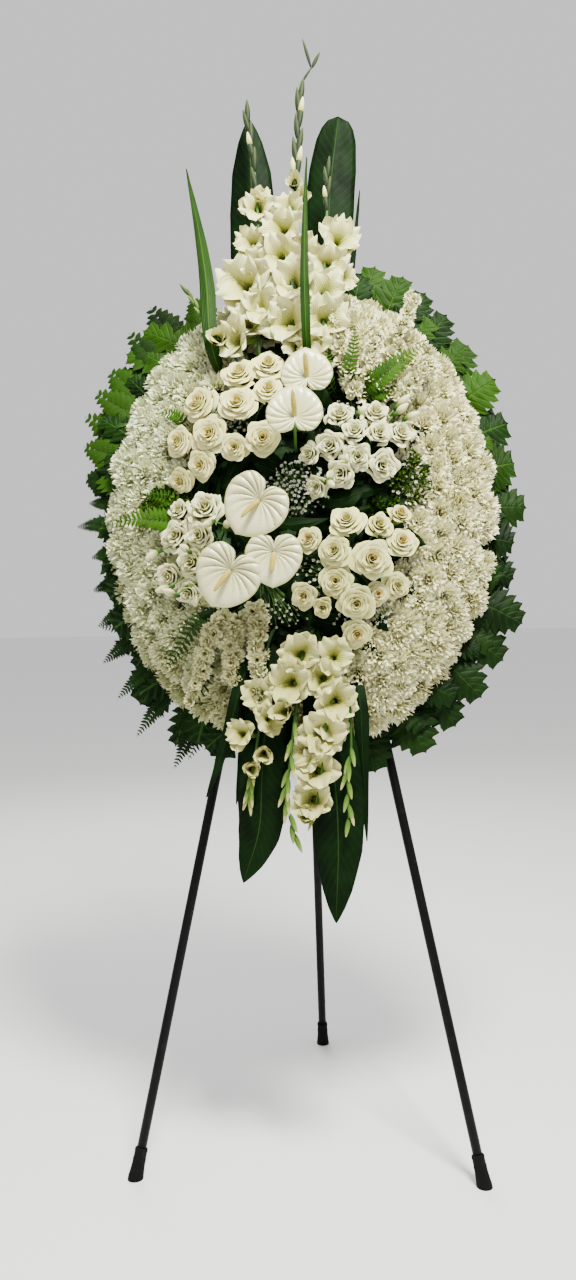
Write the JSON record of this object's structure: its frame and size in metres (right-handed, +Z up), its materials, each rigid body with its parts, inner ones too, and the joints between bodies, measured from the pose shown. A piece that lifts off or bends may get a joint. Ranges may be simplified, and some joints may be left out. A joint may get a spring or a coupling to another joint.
{
  "type": "funeral wreath on stand",
  "caption": "Oval cushion of white blooms with a centre spray of mixed flowers and leaves and a leaf collar, leaning on a folding easel stand with rubber feet.",
  "frame": {"origin": "on the floor, under the middle of the whole part's bounding box", "axes": "+Z up, the flowers face -Y, +X to the right as seen from the front"},
  "size_m": [0.798, 0.6545, 1.9951],
  "materials": {
    "black_metal": "satin black paint",
    "steel": "zinc plated",
    "rubber": "matt",
    "board": "bare board",
    "foam": "matt open foam",
    "carnation_petal": "soft matt petals",
    "rose_petal": "soft satin petals",
    "white_petal": "soft matt petals",
    "spathe": "waxy gloss",
    "spadix": "fine matt grain",
    "gladiolus_petal": "soft satin petals",
    "dark_leaf": "waxy satin",
    "blade_leaf": "satin",
    "fresh_leaf": "satin",
    "fern": "matt"
  },
  "bodies": {
    "frame_and_flowers": {"anthurium_top_spadix": "spadix", "anthurium_top": "spathe", "anthurium_upper_spadix": "spadix", "anthurium_upper": "spathe", "anthurium_centre_spadix": "spadix", "anthurium_centre": "spathe", "anthurium_left_spadix": "spadix", "anthurium_left": "spathe", "anthurium_lower_spadix": "spadix", "anthurium_lower": "spathe", "roses_upper_left": "rose_petal", "roses_lower_right": "rose_petal", "lisianthus_upper_right": "white_petal", "lisianthus_left": "white_petal", "gladiolus_top_centre": "gladiolus_petal", "gladiolus_top_left": "gladiolus_petal", "gladiolus_top_right": "gladiolus_petal", "gladioli_bottom": "gladiolus_petal", "gladiolus_bottom_left": "gladiolus_petal", "stock_upper_right": "white_petal", "stock_lower_left": "white_petal", "leaf_top_left": "dark_leaf", "leaves_top_right": "dark_leaf", "blade_top_left": "blade_leaf", "blade_top_centre": "blade_leaf", "leaves_bottom_left": "dark_leaf", "leaf_bottom_right": "dark_leaf", "leaves_folded": "dark_leaf", "ferns_upper_right": "fern", "greens_left": "fern", "ferns_lower_left": "dark_leaf", "gypsophila": "white_petal", "carnations_1": "carnation_petal", "carnations_2": "carnation_petal", "carnations_3": "carnation_petal", "carnations_4": "carnation_petal", "carnations_5": "carnation_petal", "collar_left_top": "fresh_leaf", "collar_left_upper": "fresh_leaf", "collar_left_lower": "fresh_leaf", "collar_left_bottom": "fresh_leaf", "collar_right_top": "fresh_leaf", "collar_right_upper": "fresh_leaf", "collar_right_lower": "fresh_leaf", "collar_right_bottom": "fresh_leaf", "foam_pad": "foam", "base_board": "board", "stand_head": "black_metal", "hinge_pin": "steel", "clip_upper_left": "steel", "clip_upper_right": "steel", "clip_lower_left": "steel", "clip_lower_right": "steel", "leg_front_left": "black_metal", "foot_front_left": "rubber", "leg_front_right": "black_metal", "foot_front_right": "rubber"},
    "rear_leg": {"leg_rear": "black_metal", "foot_rear": "rubber", "rear_leg_knuckle": "black_metal"}
  },
  "joints": [
    {"name": "rear_leg_fold", "type": "hinge", "parent": "frame_and_flowers", "child": "rear_leg", "pos_m": [0, 0.03255, 1.38091], "axis": [-1, 0, 0], "range_deg": [0, 20]}
  ]
}
